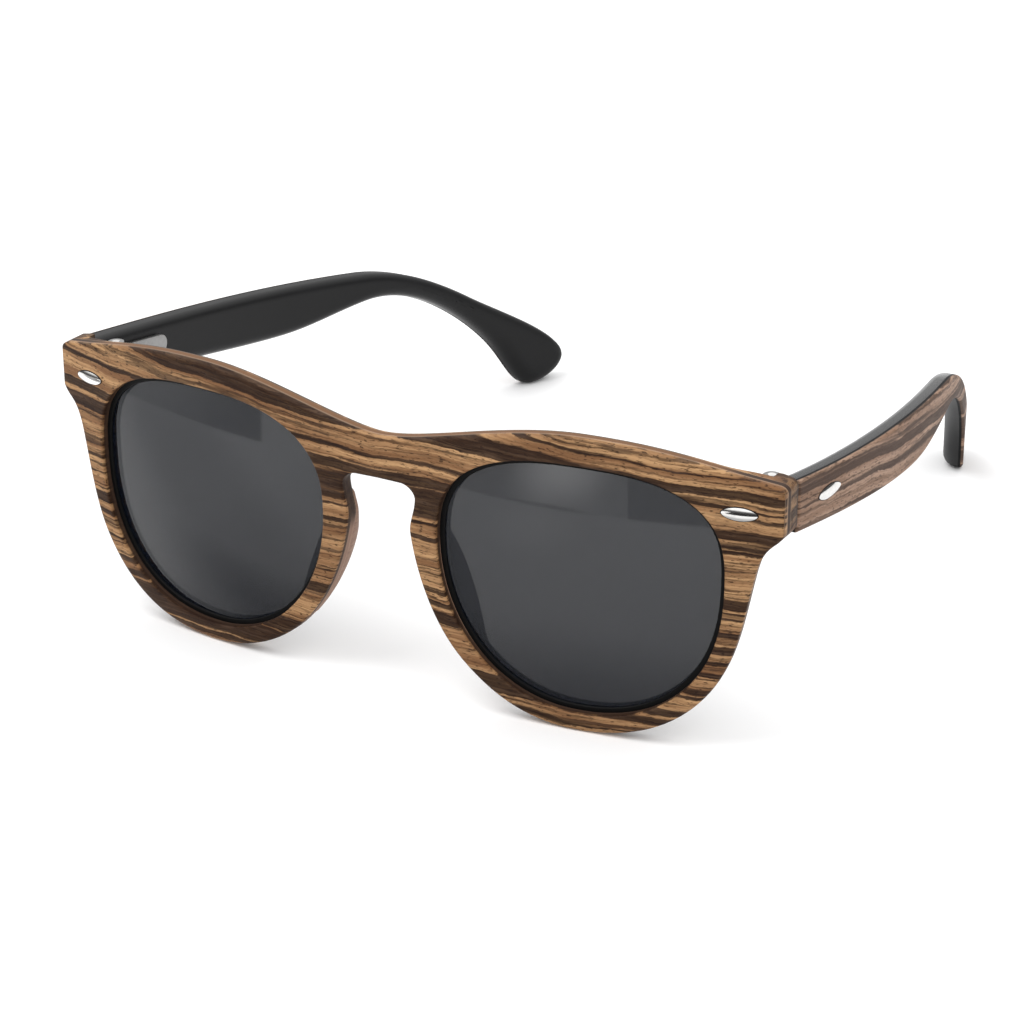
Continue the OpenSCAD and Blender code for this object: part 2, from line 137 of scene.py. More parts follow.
class SunglassesColours(bpy.types.PropertyGroup):
    """Colours of the finishes, as they render in plain light"""
    wood_light: colour("Light wood", (0.50, 0.292, 0.140), "Palest tone of the striped wood")
    wood_mid: colour("Warm wood", (0.215, 0.103, 0.045), "Warm tone of the striped wood")
    wood_dark: colour("Dark stripe", (0.020, 0.008, 0.004), "Stripes of the striped wood")
    wood_grey: colour("Grey stripe", (0.062, 0.035, 0.022), "Faded parts of the stripes")
    edge_light: colour("Edge line", (0.34, 0.225, 0.145), "Pale line where the outer ply ends")
    veneer_light: colour("Veneer", (0.40, 0.265, 0.190), "Palest tone of the temples' veneer")
    veneer_mid: colour("Warm veneer", (0.245, 0.148, 0.098), "Warm tone of the temples' veneer")
    veneer_dark: colour("Veneer stripe", (0.070, 0.044, 0.033), "Stripes of the temples' veneer")
    # This colour also paints shade on the walls of the lens openings and the keyhole
    core_ply: colour("Core ply", (0.034, 0.018, 0.012), "Dark ply inside the front")
    pad_wood: colour("Pad wood", (0.315, 0.190, 0.132), "Sanded wood of the nose pads")
    pad_streak: colour("Pad streak", (0.20, 0.112, 0.072), "Grain of the nose pads")
    black: colour("Black core", (0.004, 0.004, 0.0043), "Black core of the temples")
    liner: colour("Liner", (0.003, 0.003, 0.003), "Black liner around the lenses")
    lens: colour("Lens", (0.003, 0.0045, 0.0085), "Dark tint of the lenses")
    polished: colour("Polished metal", (0.76, 0.75, 0.73), "Rivets and screws")
    brushed: colour("Brushed metal", (0.30, 0.295, 0.29), "Hinge leaves")
    floor: colour("Floor", (0.96, 0.96, 0.96), "Floor and backdrop")


# Outlines, in millimetres

def heading(angle):
    return Vector((cos(radians(angle)), sin(radians(angle))))


def path(stops):
    """Points of a smooth path through its stops. Each stop has a point, a heading, its reach in and out,
    and the number of steps to the next."""
    points = []
    for (p, p_turn, _, p_out, steps), (q, q_turn, q_in, _, _) in zip(stops, stops[1:]):
        p, q = Vector(p), Vector(q)
        b, c = p + p_out * heading(p_turn), q - q_in * heading(q_turn)
        for i in range(steps * FINE):
            t = i / (steps * FINE)
            u = 1 - t
            points.append(u ** 3 * p + 3 * u * u * t * b + 3 * u * t * t * c + t ** 3 * q)
    return points


def mirrored(points):
    return [Vector((-p.x, p.y)) for p in points]


def smoothstep(low, high, value):
    t = min(max((value - low) / (high - low), 0), 1)
    return t * t * (3 - 2 * t)


class Layout:
    """Places on the frame in millimetres, worked out from the sizes. Its y starts at the bridge's front."""
    # Powers of the lens outline in its quarters, and angles where the outer rim starts and a nose pad ends
    lens_power = (2.75, 2.55, 2.05, 2.3)
    rim_start = 20
    pad_to = 52
    # Corner and fall of an end piece, slope of the temples' leaves in degrees, margin of the hinge seats
    end_round = 1.3
    end_sweep = 0.7
    leaf_slope = 8
    seat_edge = 0.5
    # Where an end piece begins, across and in height
    end_across = 64, 70
    end_above = 36, 41

    def __init__(self):
        sizes = bpy.context.scene.sunglasses_sizes
        for name in SunglassesSizes.__annotations__:
            setattr(self, name, getattr(sizes, name) / MM)
        self.half_w = self.front_w / 2
        self.front_t = self.outer_ply_t + self.core_ply_t + self.inner_ply_t
        self.inner_start = self.outer_ply_t + self.core_ply_t
        self.liner_start = self.front_t - self.lens_t - 2 * self.liner_lip_t
        self.lens_start = self.liner_start + self.liner_lip_t
        self.lens_out = self.groove_d - self.liner_w
        self.lens_x = (self.lens_gap + self.lens_w) / 2
        self.widest_z = self.rim_w + self.widest_h
        self.brow_top = self.rim_w + self.lens_h + self.brow_h
        self.bridge_top = self.brow_top - self.bridge_drop
        self.key_top = self.bridge_top - self.bridge_h
        self.nose_half = self.lens_gap / 2 - self.rim_nose
        self.end_top = self.brow_top - self.end_drop
        self.end_bottom = self.end_top - self.end_h
        self.pad_z = self.widest_z - self.pad_drop
        self.joint_y = self.wrap_y(self.half_w, self.front_t) + self.end_seat_t
        self.temple_y = self.joint_y + self.joint_gap
        self.temple_top = self.end_top - self.temple_step
        self.temple_t = self.core_t + self.veneer_t
        self.bow_mid = self.joint_y + self.bow_y
        self.bow_x = self.half_w - sqrt(self.bow_r ** 2 - self.bow_y ** 2)
        self.axis_x = self.half_w - self.temple_t - self.hinge_gap - self.knuckle_r
        self.axis_y = self.joint_y + self.leaf_t + self.knuckle_r + self.hinge_gap
        self.hinge_z = (self.end_top + self.end_bottom) / 2 - self.hinge_drop
        self.front_rivet_x = self.half_w - self.rivet_inset
        self.joint_x = self.axis_x + self.knuckle_r + 2 * self.seat_edge
        self.nose_stops = [
            ((self.nose_half, self.widest_z), 96, 0, 2, 5),
            ((self.nose_half + self.key_bulge, self.key_top - 2.6), 88, 2.4, 1.3, 5),
            ((self.nose_half - 1.7, self.key_top - 0.1), 178, 1.2, 1.5, 1),
            ((0, self.key_top), 180, 1, 0, 0),
        ]

    def wrap_y(self, x, depth):
        return self.wrap_r - sqrt((self.wrap_r - depth) ** 2 - x * x)

    def bow_side(self, y, depth):
        return self.bow_x + sqrt((self.bow_r - depth) ** 2 - (y - self.bow_mid) ** 2)

    def place(self, x, y, z):
        return Vector((x, y - self.reach / 2, z)) * MM

    def on_front(self, x, depth, z):
        """A point at a depth behind the front face. Edges stand square to it, or along Y at end pieces."""
        end = smoothstep(*self.end_across, abs(x)) * smoothstep(*self.end_above, z)
        x -= (1 - end) * depth * x / self.wrap_r
        return self.place(x, self.wrap_y(x, depth), z)

    def on_temple(self, side):
        return lambda y, depth, z: self.place(side * self.bow_side(y, depth), y, z)

    def lens_point(self, q, angle, d):
        """Point of the right lens outline in a quarter, at an angle from its widest line, moved out."""
        c, s = max(cos(radians(angle)), 0), max(sin(radians(angle)), 0)
        n, half = self.lens_power[q], self.lens_w / 2
        b = self.lens_h - self.widest_h if q < 2 else self.widest_h
        normal = Vector((c ** (2 - 2 / n) / half, s ** (2 - 2 / n) / b)).normalized()
        p = Vector((c ** (2 / n) * half, s ** (2 / n) * b)) + d * normal
        across, up = p.x if q in (0, 3) else -p.x, p.y if q < 2 else -p.y
        return Vector((self.lens_x + across, self.widest_z + up))

    def lens_outline(self, d, side=1):
        """A lens outline moved out by d, clockwise, so that its left side is wood."""
        points, steps = [], 10 * FINE
        for q in range(4):
            for i in range(steps):
                angle = 90 * i / steps
                points.append(self.lens_point(q, angle if q % 2 == 0 else 90 - angle, d))
        return mirrored(points) if side < 0 else points[::-1]

    def nose_rim(self, angle):
        return self.rim_w + (self.rim_nose - self.rim_w) * (1 - sin(radians(angle))) ** 3

    def front_half(self):
        """The right half of the front's outline, from the top of the bridge to the keyhole."""
        low = self.lens_point(3, self.rim_start, self.rim_w)
        inner = self.lens_point(3, self.rim_start, 0)
        rim_heading = degrees(atan2(*reversed(low - inner))) - 90
        top, bottom, r = self.end_top, self.end_bottom, self.end_round
        rim = path([
            ((0, self.bridge_top), 0, 0, 8, 8),
            ((self.lens_x + 0.5, self.brow_top), 0, 14, 14, 10),
            ((self.half_w - r, top), -10, 14, r / 2, 3),
            ((self.half_w, top - r), -90, r / 2, 1, 2),
            ((self.half_w, bottom + r), -90, 1, r / 2, 3),
            ((self.half_w - r, bottom - self.end_sweep), -138, r / 2, 1.8, 6),
            ((self.lens_x + self.lens_w / 2 + self.rim_side, self.widest_z + 2.3), -102, 4, 5, 4),
            (low, rim_heading, 5, 0, 0),
        ])
        step = 3
        rim += [self.lens_point(3, a, self.rim_w) for a in range(self.rim_start, 90, step)]
        rim += [self.lens_point(2, a, self.nose_rim(a)) for a in range(90, 1, -step)]
        return rim + path(self.nose_stops) + [Vector((0, self.key_top))]

    def front_outline(self):
        half = self.front_half()
        return (half + mirrored(half[-2:0:-1]))[::-1]

    def nose_edge(self):
        """The nose side of the right rim, from the keyhole down."""
        edge = path(self.nose_stops[:2])[::-1]
        return edge + [self.lens_point(2, a, self.nose_rim(a)) for a in range(2, self.pad_to + 1, 2)]

    def temple_outline(self):
        """The temple's side outline in depth and height."""
        ear, reach, waist = self.temple_top - self.ear_drop, self.reach, self.waist_h
        points = path([
            ((self.temple_y, self.temple_top), -8.5, 0, 25, 6),
            ((reach - 57, ear), -9, 28, 10, 8),
            ((reach - 26, ear - 12.9), -32.5, 13, 10.5, 6),
            ((reach, 5.5), -90, 5, 3, 5),
            ((reach - 8, 0), 180, 4.5, 3.5, 5),
            ((reach - 18.6, 11.7), 131, 7, 10, 8),
            ((reach - 57, ear - waist + 0.4), 181, 16, 9, 5),
            ((reach - 81, ear - waist - 0.1), 176, 8, 14, 8),
            ((self.temple_y, self.temple_top - self.temple_h), 171.5, 25, 0, 1),
            ((self.temple_y, self.temple_top), 90, 0, 0, 0),
        ])
        return points[::-1]


# Meshes

def inward(loop):
    """Directions into the wood at a loop's points, long enough to keep both neighbouring edges parallel."""
    normals = []
    for i, p in enumerate(loop):
        a = (p - loop[i - 1]).normalized()
        b = (loop[(i + 1) % len(loop)] - p).normalized()
        n = Vector((-a.y - b.y, a.x + b.x)).normalized()
        normals.append(n / max(n.dot(Vector((-a.y, a.x))), 0.5))
    return normals


def round_front(r):
    """Depths and insets of an edge that is rounded from the front face on."""
    turns = [pi / 2 * i / ROUND_STEPS for i in range(ROUND_STEPS + 1)]
    return [(0, r + BAND)] + [(r * (1 - cos(a)), r * (1 - sin(a))) for a in turns]


def round_back(r, depth):
    """The same at the back, from its start to the back face at a depth."""
    return [(depth - d, inset) for d, inset in reversed(round_front(r))]


def smooth(obj):
    obj.data.shade_smooth()
    obj.data.set_sharp_from_angle(angle=SHARP)


def add(name, data):
    obj = bpy.data.objects.new(name, data)
    bpy.context.scene.collection.objects.link(obj)
    return obj


def finish(name, bm, material=None):
    """Makes an object of a bmesh, smooth but for its sharp edges."""
    bmesh.ops.remove_doubles(bm, verts=bm.verts, dist=1e-7)
    bmesh.ops.recalc_face_normals(bm, faces=bm.faces)
    mesh = bpy.data.meshes.new(name)
    bm.to_mesh(mesh)
    bm.free()
    obj = add(name, mesh)
    smooth(obj)
    if material:
        mesh.materials.append(material)
    return obj


def slab(name, loops, profile, place, step, material=None):
    """A plate with holes. profile(loop number, point) gives depths and insets along its edge, and place()
    its shape. Its faces are cut into strips a step wide, so that they follow the shape. Attributes mark the
    holes' edges and how far a point faces up."""
    bm = bmesh.new()
    layers = bm.verts.layers.float
    for key in ("hole", "crest"):
        layers.new(key)
    hole, crest = layers["hole"], layers["crest"]
    caps = [], []
    for k, loop in enumerate(loops):
        edges = [profile(k, p) for p in loop]
        normals = inward(loop)
        rings = []
        for j in range(len(edges[0])):
            spots = [p + edge[j][1] * n for p, n, edge in zip(loop, normals, edges)]
            rings.append([bm.verts.new((q.x, edge[j][0], q.y)) for q, edge in zip(spots, edges)])
        for ring in rings:
            for v in ring:
                v[hole] = min(k, 1)
        for a, b in zip(rings, rings[1:]):
            for i in range(len(a)):
                bm.faces.new((a[i - 1], a[i], b[i], b[i - 1]))
        for cap, ring in zip(caps, (rings[0], rings[-1])):
            cap.extend(bm.edges.get((ring[i - 1], ring[i])) for i in range(len(ring)))
    faces = []
    for cap in caps:
        made = bmesh.ops.triangle_fill(bm, use_beauty=True, use_dissolve=False, edges=cap)["geom"]
        faces += [f for f in made if isinstance(f, bmesh.types.BMFace)]
    low = min(v.co.x for v in bm.verts)
    high = max(v.co.x for v in bm.verts)
    for i in range(ceil(low / step + 0.01), ceil(high / step - 0.01)):
        faces = [f for f in faces if f.is_valid]
        parts = {e for f in faces for e in (*f.verts, *f.edges, f)}
        cut = bmesh.ops.bisect_plane(bm, geom=list(parts), plane_co=(i * step, 0, 0), plane_no=(1, 0, 0))
        faces = list({f for f in cut["geom"] if isinstance(f, bmesh.types.BMFace)})
    for v in bm.verts:
        v.co = place(*v.co)
    bmesh.ops.recalc_face_normals(bm, faces=bm.faces)
    for v in bm.verts:
        v[crest] = max(v.normal.z, 0)
    return finish(name, bm, material)


def sweep(name, loops, place, closed=True, material=None):
    """A skin through loops of points (x, depth, z). Open sweeps are closed by flat ends."""
    bm = bmesh.new()
    rings = [[bm.verts.new(place(*p)) for p in loop] for loop in loops]
    pairs = list(zip(rings, rings[1:])) + ([(rings[-1], rings[0])] if closed else [])
    for a, b in pairs:
        for i in range(len(a)):
            bm.faces.new((a[i - 1], a[i], b[i], b[i - 1]))
    if not closed:
        bm.faces.new(rings[0])
        bm.faces.new(rings[-1])
    return finish(name, bm, material)


def settle(obj):
    """Replaces an object's mesh by the result of its modifiers."""
    graph = bpy.context.evaluated_depsgraph_get()
    mesh = bpy.data.meshes.new_from_object(obj.evaluated_get(graph))
    obj.modifiers.clear()
    obj.data = mesh


def dress(obj, body, slot, *nodes):
    """Puts a finished piece on its body, in the place of its CAD nodes."""
    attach(obj, body)
    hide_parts(*nodes)


# Node trees

def operation(kind, swapped=False):
    """A method that adds a Math node to its value's tree."""
    def method(self, *others):
        values = (*others, self) if swapped else (self, *others)
        return self.net.node("ShaderNodeMath", dict(enumerate(values)), operation=kind)
    return method


class Value:
    """An output socket. Arithmetic on it adds Math nodes to its tree, and | takes the larger value."""
    __add__ = __radd__ = operation("ADD")
    __mul__ = __rmul__ = operation("MULTIPLY")
    __sub__, __rsub__ = operation("SUBTRACT"), operation("SUBTRACT", swapped=True)
    __truediv__, __pow__, __or__ = operation("DIVIDE"), operation("POWER"), operation("MAXIMUM")
    root, size = operation("SQRT"), operation("ABSOLUTE")

    def __init__(self, net, socket):
        self.net, self.socket = net, socket

    def step(self, low, high):
        """0 below low, 1 above high, smooth in between."""
        return self.net.node("ShaderNodeMapRange", {"Value": self, "From Min": low, "From Max": high},
                             interpolation_type="SMOOTHSTEP")


class Net:
    """Adds nodes to a node tree."""

    def __init__(self, tree):
        self.tree = tree

    def node(self, kind, sockets=None, out=0, **settings):
        """Adds a node and returns one of its outputs. A list of values goes to one socket together."""
        made = self.tree.nodes.new(kind)
        for key, value in settings.items():
            setattr(made, key, value)
        for key, value in (sockets or {}).items():
            for part in value if isinstance(value, list) else [value]:
                if isinstance(part, Value):
                    self.tree.links.new(part.socket, made.inputs[key])
                else:
                    made.inputs[key].default_value = part
        return Value(self, made.outputs[out]) if made.outputs else None

    def outs(self, value, *names):
        """Other outputs of the node that a value comes from."""
        return [Value(self, value.socket.node.outputs[name]) for name in names]

    def vector(self, x, y, z):
        return self.node("ShaderNodeCombineXYZ", {0: x, 1: y, 2: z})

    def parts(self, vector):
        return self.outs(self.node("ShaderNodeSeparateXYZ", {0: vector}), "X", "Y", "Z")

    def attribute(self, name):
        return self.node("ShaderNodeAttribute", out="Fac", attribute_name=name)

    def noise(self, x, y, z, detail=2.0, roughness=0.5):
        return self.node("ShaderNodeTexNoise", {"Vector": self.vector(x, y, z), "Scale": 1.0,
                                                "Detail": detail, "Roughness": roughness})

    def mix(self, share, a, b):
        """Colour a turned into colour b by a share."""
        a, b = (c if isinstance(c, Value) else (*c, 1) for c in (a, b))
        return self.node("ShaderNodeMix", {0: share, 6: a, 7: b}, out=2, data_type="RGBA")

    def position(self):
        return self.parts(self.node("GeometryNodeInputPosition"))

    def join(self, *shapes):
        return self.node("GeometryNodeJoinGeometry", {"Geometry": list(shapes)})

    def shift(self, shape, x, y, z):
        return self.node("GeometryNodeTransform", {"Geometry": shape, "Translation": self.vector(x, y, z)})

    def raised(self, shape, height, **choice):
        return self.node("GeometryNodeSetPosition",
                         {"Geometry": shape, "Offset": self.vector(0.0, 0.0, height), **choice})


# Finishes

# Heights between which the painted shade on the keyhole's wall and the pads' pale wood run out
KEYHOLE = 38, 41
PADS = 28, 32


def surface(name, **constants):
    """Turns build(), which gives the sockets that vary, into a function that makes the material. build()
    gets the net, the layout, the colours and the place in millimetres. The other sockets are constants."""
    def wrap(build):
        def make():
            made = bpy.data.materials.new(name)
            made.use_nodes = True
            made.node_tree.nodes.clear()
            net = Net(made.node_tree)
            place = net.parts(net.node("ShaderNodeTexCoord", out="Object"))
            colours = bpy.context.scene.sunglasses_colours
            sockets = {key.replace("_", " "): value for key, value in constants.items()}
            sockets.update(build(net, Layout(), colours, *(part * 1000 for part in place)))
            shader = net.node("ShaderNodeBsdfPrincipled", sockets)
            net.node("ShaderNodeOutputMaterial", {"Surface": shader})
            return made
        return make
    return wrap


def looks(net, shade, rough, height, depth, strength):
    """Sockets of a finish with a colour, a roughness and a bump of a depth in millimetres."""
    bump = net.node("ShaderNodeBump", {"Height": height, "Distance": depth * MM, "Strength": strength})
    return {"Base Color": shade, "Roughness": rough, "Normal": bump}


def scaled(shade, share):
    return [share * part for part in shade]


def wrap_depth(lay, x, y):
    """Depth behind the front face."""
    radial = y - (lay.wrap_r - lay.reach / 2)
    return lay.wrap_r - (x * x + radial * radial).root()


def beside_nose(x, z, heights):
    """1 on the nose side of the rims below the heights, 0 elsewhere."""
    return (1 - x.size().step(14, 20)) * (1 - z.step(*heights))


def striped(net, place, tones, tilt, seed, share=0.488, wave=1):
    """Colour, roughness, height and fine streaks of striped wood whose grain runs along the place's first
    part. Its tones are light, mid, stripe and faded stripe."""
    along, across, up = place
    light, mid, dark, grey = tones
    drift = net.noise(along * 0.015 + seed, across * 0.03, up * 0.022, 1.0) - 0.5
    ripple = net.noise(along * 0.055 + seed, across * 0.08, up * 0.07) - 0.5
    fray = net.noise(along * 0.28, across * 0.4, up * 2.2 + seed, 3.0, 0.65) - 0.5
    line = up + along * tilt + drift * (9 * wave) + ripple * (2.4 * wave) + fray * 0.9
    band = net.noise(along * 0.005 + seed, across * 0.03, line * 0.44, 2.0, 0.55)
    thin = net.noise(along * 0.009, across * 0.04, line * 1.3 + seed, 1.0)
    fade = net.noise(along * 0.09 + seed, across * 0.3, line * 1.4)
    streak = net.noise(along * 0.07, across * 0.5, line * 3.2 + seed, 3.0, 0.65)
    pore = net.noise(along * 0.75, across * 1.6, line * 5.5 + seed, 1.0).step(0.60, 0.67)
    tone = net.noise(along * 0.022, across * 0.05, line * 0.5 + seed, 3.0, 0.6).step(0.36, 0.64)
    stripe = band.step(share, share + 0.04) | thin.step(0.54, 0.61) * fade.step(0.3, 0.55) * 0.8
    base = net.mix(tone, light, mid)
    base = net.mix(streak.step(0.42, 0.68) * 0.75, base, scaled(mid, 0.7))
    lines = net.mix(fade.step(0.48, 0.70) * 0.9, dark, grey)
    wood = net.mix(stripe * (0.74 + streak * 0.4), base, lines)
    wood = net.mix(pore * 0.75, wood, dark)
    rough = 0.42 + streak * 0.14 + stripe * 0.04
    height = streak * 0.4 - pore - stripe * 0.25
    return wood, rough, height, streak


@surface("Striped wood", Specular_IOR_Level=0.13)
def front_wood(net, lay, c, x, y, z):
    depth = wrap_depth(lay, x, y)
    tones = c.wood_light, c.wood_mid, c.wood_dark, c.wood_grey
    wood, rough, height, streak = striped(net, (x, depth, z), tones, 0.045, 3.7)
    # Painted shade: behind their rounding, the walls of the lens openings and the keyhole are darkened to
    # the core ply's colour
    wall = beside_nose(x, z, KEYHOLE) | net.attribute("hole")
    wood = net.mix(depth.step(0.9, 1.1) * (0.4 + streak * 0.4), wood, c.edge_light)
    wood = net.mix(depth.step(0.4, 0.8) * wall * 0.9, wood, c.core_ply)
    return looks(net, wood, rough, height, 0.05, 0.7)


@surface("Back wood", Specular_IOR_Level=0.13)
def back_wood(net, lay, c, x, y, z):
    depth = wrap_depth(lay, x, y)
    tones = c.wood_light, c.wood_mid, c.wood_dark, c.wood_grey
    wood, rough, height, streak = striped(net, (x, depth, z), tones, -0.03, 11.3)
    seam = 1 - depth.step(2.5, 2.85)
    # Painted shade: above the pads, the keyhole's wall is darkened to the core ply's colour; below them, it
    # takes the pads' wood
    wall = beside_nose(x, z, KEYHOLE) * (1 - depth.step(3.6, 3.9))
    end, seat = x.size().step(69, 71), depth.step(4.5, 5.0)
    wood = net.mix(seam * (0.25 + streak * 0.5), wood, c.edge_light)
    wood = net.mix(wall * 0.9, wood, net.mix(z.step(*PADS), c.pad_wood, c.core_ply))
    wood = net.mix(end * 0.5, wood, c.wood_grey)
    wood = net.mix(seat * 0.75, wood, c.core_ply)
    return looks(net, wood, rough, height, 0.05, 0.7)


@surface("Dark core ply", Specular_IOR_Level=0.2)
def core_wood(net, lay, c, x, y, z):
    streak = net.noise(x * 0.15, y * 2, z * 0.9, 3.0, 0.6)
    top = z.step(40, 45) * (1 - x.size().step(60, 66))
    shade = net.mix(streak.step(0.35, 0.7), c.core_ply, c.wood_grey)
    shade = net.mix(top * 0.75, shade, c.wood_mid)
    shade = net.mix(beside_nose(x, z, PADS) * 0.85, shade, c.pad_wood)
    return looks(net, shade, 0.5 + streak * 0.15, streak, 0.04, 0.6)


@surface("Pad wood", Specular_IOR_Level=0.25)
def pad_wood(net, lay, c, x, y, z):
    streak = net.noise(x * 0.5, y * 0.35, z * 1.8, 3.0, 0.6)
    pore = net.noise(x * 1.2, y * 1.0, z * 5.0, 1.0).step(0.62, 0.7)
    shade = net.mix(streak.step(0.35, 0.7) * 0.7, c.pad_wood, c.pad_streak)
    shade = net.mix(pore * 0.35, shade, c.wood_grey)
    return looks(net, shade, 0.46 + streak * 0.12, streak - pore, 0.03, 0.6)


@surface("Veneer", Specular_IOR_Level=0.05)
def veneer_wood(net, lay, c, x, y, z):
    tones = c.veneer_light, c.veneer_mid, c.veneer_dark, c.veneer_dark
    wood, rough, height, _ = striped(net, (y, x.size(), z), tones, 0.155, 6.1, 0.48, 0.55)
    out, back = x.size() - lay.bow_x, y - (lay.bow_mid - lay.reach / 2)
    depth = lay.bow_r - (out * out + back * back).root()
    wood = net.mix(depth.step(0.45, 0.7), wood, c.black)
    return looks(net, wood, rough, height, 0.05, 0.7)


@surface("Black core", Specular_IOR_Level=0.16)
def black_core(net, lay, c, x, y, z):
    cloud = net.noise(x * 0.08, y * 0.05, z * 0.12)
    grain = net.noise(x * 3, y * 0.8, z * 3)
    rough = (0.34 + cloud * 0.12 + grain * 0.04) * (1 - net.attribute("crest") * 0.55)
    return looks(net, net.mix(cloud, c.black, scaled(c.black, 2.2)), rough, grain, 0.012, 0.5)


@surface("Liner black", Specular_IOR_Level=0.1)
def liner_black(net, lay, c, x, y, z):
    grain = net.noise(x * 4, y * 4, z * 4)
    shade = net.mix(grain, c.liner, scaled(c.liner, 1.8))
    return looks(net, shade, 0.42 + grain * 0.16, grain, 0.012, 0.4)


@surface("Lens tint", Specular_IOR_Level=0.33, IOR=1.5)
def lens_tint(net, lay, c, x, y, z):
    haze = net.noise(x * 0.03, y * 0.03, z * 0.03, 1.0)
    rise = z.step(lay.rim_w, lay.rim_w + lay.lens_h)
    return {"Base Color": net.mix(haze, c.lens, scaled(c.lens, 1.4)),
            "Roughness": 0.02 + haze * 0.02, "Alpha": 0.811 - rise * 0.01}


def metal(net, x, y, z, shade, rough, scratch):
    wear = net.noise(x * 1.4, y * 1.4, z * 1.4, 3.0)
    brush = net.noise(x * 9, y * 1.1, z * 9)
    shade = net.mix(wear.step(0.35, 0.7) * 0.5, shade, scaled(shade, 0.82))
    return looks(net, shade, rough + wear * 0.06 + brush * scratch, brush, 0.1 * scratch, 0.4)


@surface("Polished metal", Metallic=1.0)
def polished_metal(net, lay, c, x, y, z):
    return metal(net, x, y, z, c.polished, 0.08, 0.02)


@surface("Brushed steel", Metallic=1.0)
def brushed_steel(net, lay, c, x, y, z):
    return metal(net, x, y, z, c.brushed, 0.26, 0.12)


@surface("Rivet recess", Specular_IOR_Level=0.2)
def seat_shadow(net, lay, c, x, y, z):
    """Painted shadow of the gap around a rivet, in the dark oval under its head."""
    grain = net.noise(x * 5, y * 5, z * 5)
    return {"Base Color": net.mix(grain, c.wood_dark, c.liner), "Roughness": 0.55 + grain * 0.2}


@surface("Floor white", Roughness=0.9, Specular_IOR_Level=0.0, Emission_Strength=1.0)
def floor_with_painted_reflections(net, lay, c, x, y, z):
    """A white floor that the camera sees a little brighter. Dark and light patches painted on it show in
    gloss alone: they are painted reflections, which give the lenses their reflections."""
    seen = net.node("ShaderNodeLightPath", out="Is Camera Ray")
    glossy, = net.outs(seen, "Is Glossy Ray")

    def beyond(px, py, nx, ny):
        """Distance from a line through a point, along its normal."""
        return (x - px) * nx + (y - py) * ny

    def disc(px, py, low, high, squash=1.0):
        dx, dy = x - px, y - py
        return 1 - (dx * dx + dy * dy * squash).root().step(low, high)

    # The far patches of painted reflection share an edge on the camera's side, with a thin dark seam along
    # its middle
    far = y * -1 - 164
    edge = far.step(-0.5, 1.2) | beyond(-82, -153.7, -0.31, -1).step(-0.5, 1.2)
    seam = far.step(-1, 0.2) * (1 - far.step(0.4, 2.4)) * (1 - x.step(5, 25)) * x.step(-40, -20)
    left = beyond(-96.5, -150.8, -0.744, 0.668)
    left = left.step(-0.5, 1.5) * (1 - left.step(5, 50) * 0.4)
    right = beyond(29, -161.7, 1, -0.2)
    corner = (1 - right.step(-46, -26)) * x.step(-60, -40)
    right = right.step(-0.6, 0.8) | right.step(-16, -2) * 0.3 | corner * 0.6
    spot = disc(2, -186, 1, 21, 0.6)
    painted_light_patch = disc(2, -154, 2, 18)
    # The patches closer to the frame paint shade into the lenses' lower parts, and end before the temples'
    # reflections
    west = 1 - x.step(-40, -10)
    before = 1 - y.step(-78, -70)
    inside = beyond(-126.5, -111.8, 0.402, -0.916)
    rim = 1 - inside.step(-6, 15)
    painted_near_shade = y.step(-116, -88) * (0.45 + west * 0.4) * (1 - west * rim)
    middle = west * (1 - rim) * (1 - inside.step(26, 44)) * 0.35
    # Painted reflections: dark darkens the floor's colour and light makes it glow, for glossy rays alone
    dark = edge * (left | right) | seam * 0.6 | (painted_near_shade | middle) * before
    light = edge * spot | (1 - edge) * painted_light_patch * 0.15 | west * rim * 0.36 * before
    glow = net.mix(seen, (0.0, 0.0, 0.0), (0.03, 0.03, 0.03))
    return {"Base Color": net.mix(glossy * dark, c.floor, scaled(c.floor, 0.03)),
            "Emission Color": net.mix(glossy * light, glow, (2.4, 2.4, 2.4))}


# Rivets and screws

def node_group(name, **inputs):
    """A geometry node tree with named inputs. Returns its net and their values, geometry first."""
    tree = bpy.data.node_groups.new(name, "GeometryNodeTree")
    tree.interface.new_socket("Geometry", in_out="INPUT", socket_type="NodeSocketGeometry")
    for key, size in inputs.items():
        socket = tree.interface.new_socket(key, in_out="INPUT", socket_type="NodeSocketFloat")
        socket.default_value = size * MM
    tree.interface.new_socket("Geometry", in_out="OUTPUT", socket_type="NodeSocketGeometry")
    net = Net(tree)
    start = net.node("NodeGroupInput")
    return net, net.outs(start, "Geometry", *inputs)


def placed(net, points, shape, turn="turn"):
    """The shape at each point, turned as an attribute of the points says."""
    turn = net.node("GeometryNodeInputNamedAttribute", {"Name": turn}, data_type="FLOAT_VECTOR")
    turn = net.node("FunctionNodeEulerToRotation", {0: turn})
    return net.node("GeometryNodeInstanceOnPoints", {"Points": points, "Instance": shape, "Rotation": turn})


def end_tree(net, shapes, shade, gap_shadow_material=None):
    """Ends a tree: its shapes as plain mesh in their materials."""
    plain = net.node("GeometryNodeRealizeInstances", {"Geometry": shapes})
    made = net.node("GeometryNodeSetMaterial", {"Geometry": plain, "Material": shade})
    # Faces marked seat take the material of the rivets' painted gap shadow
    if gap_shadow_material:
        seat = net.node("GeometryNodeInputNamedAttribute", {"Name": "seat"}, data_type="BOOLEAN")
        made = net.node("GeometryNodeSetMaterial", {
            "Geometry": made, "Selection": seat, "Material": gap_shadow_material})
    net.node("NodeGroupOutput", {"Geometry": made})
    return net.tree


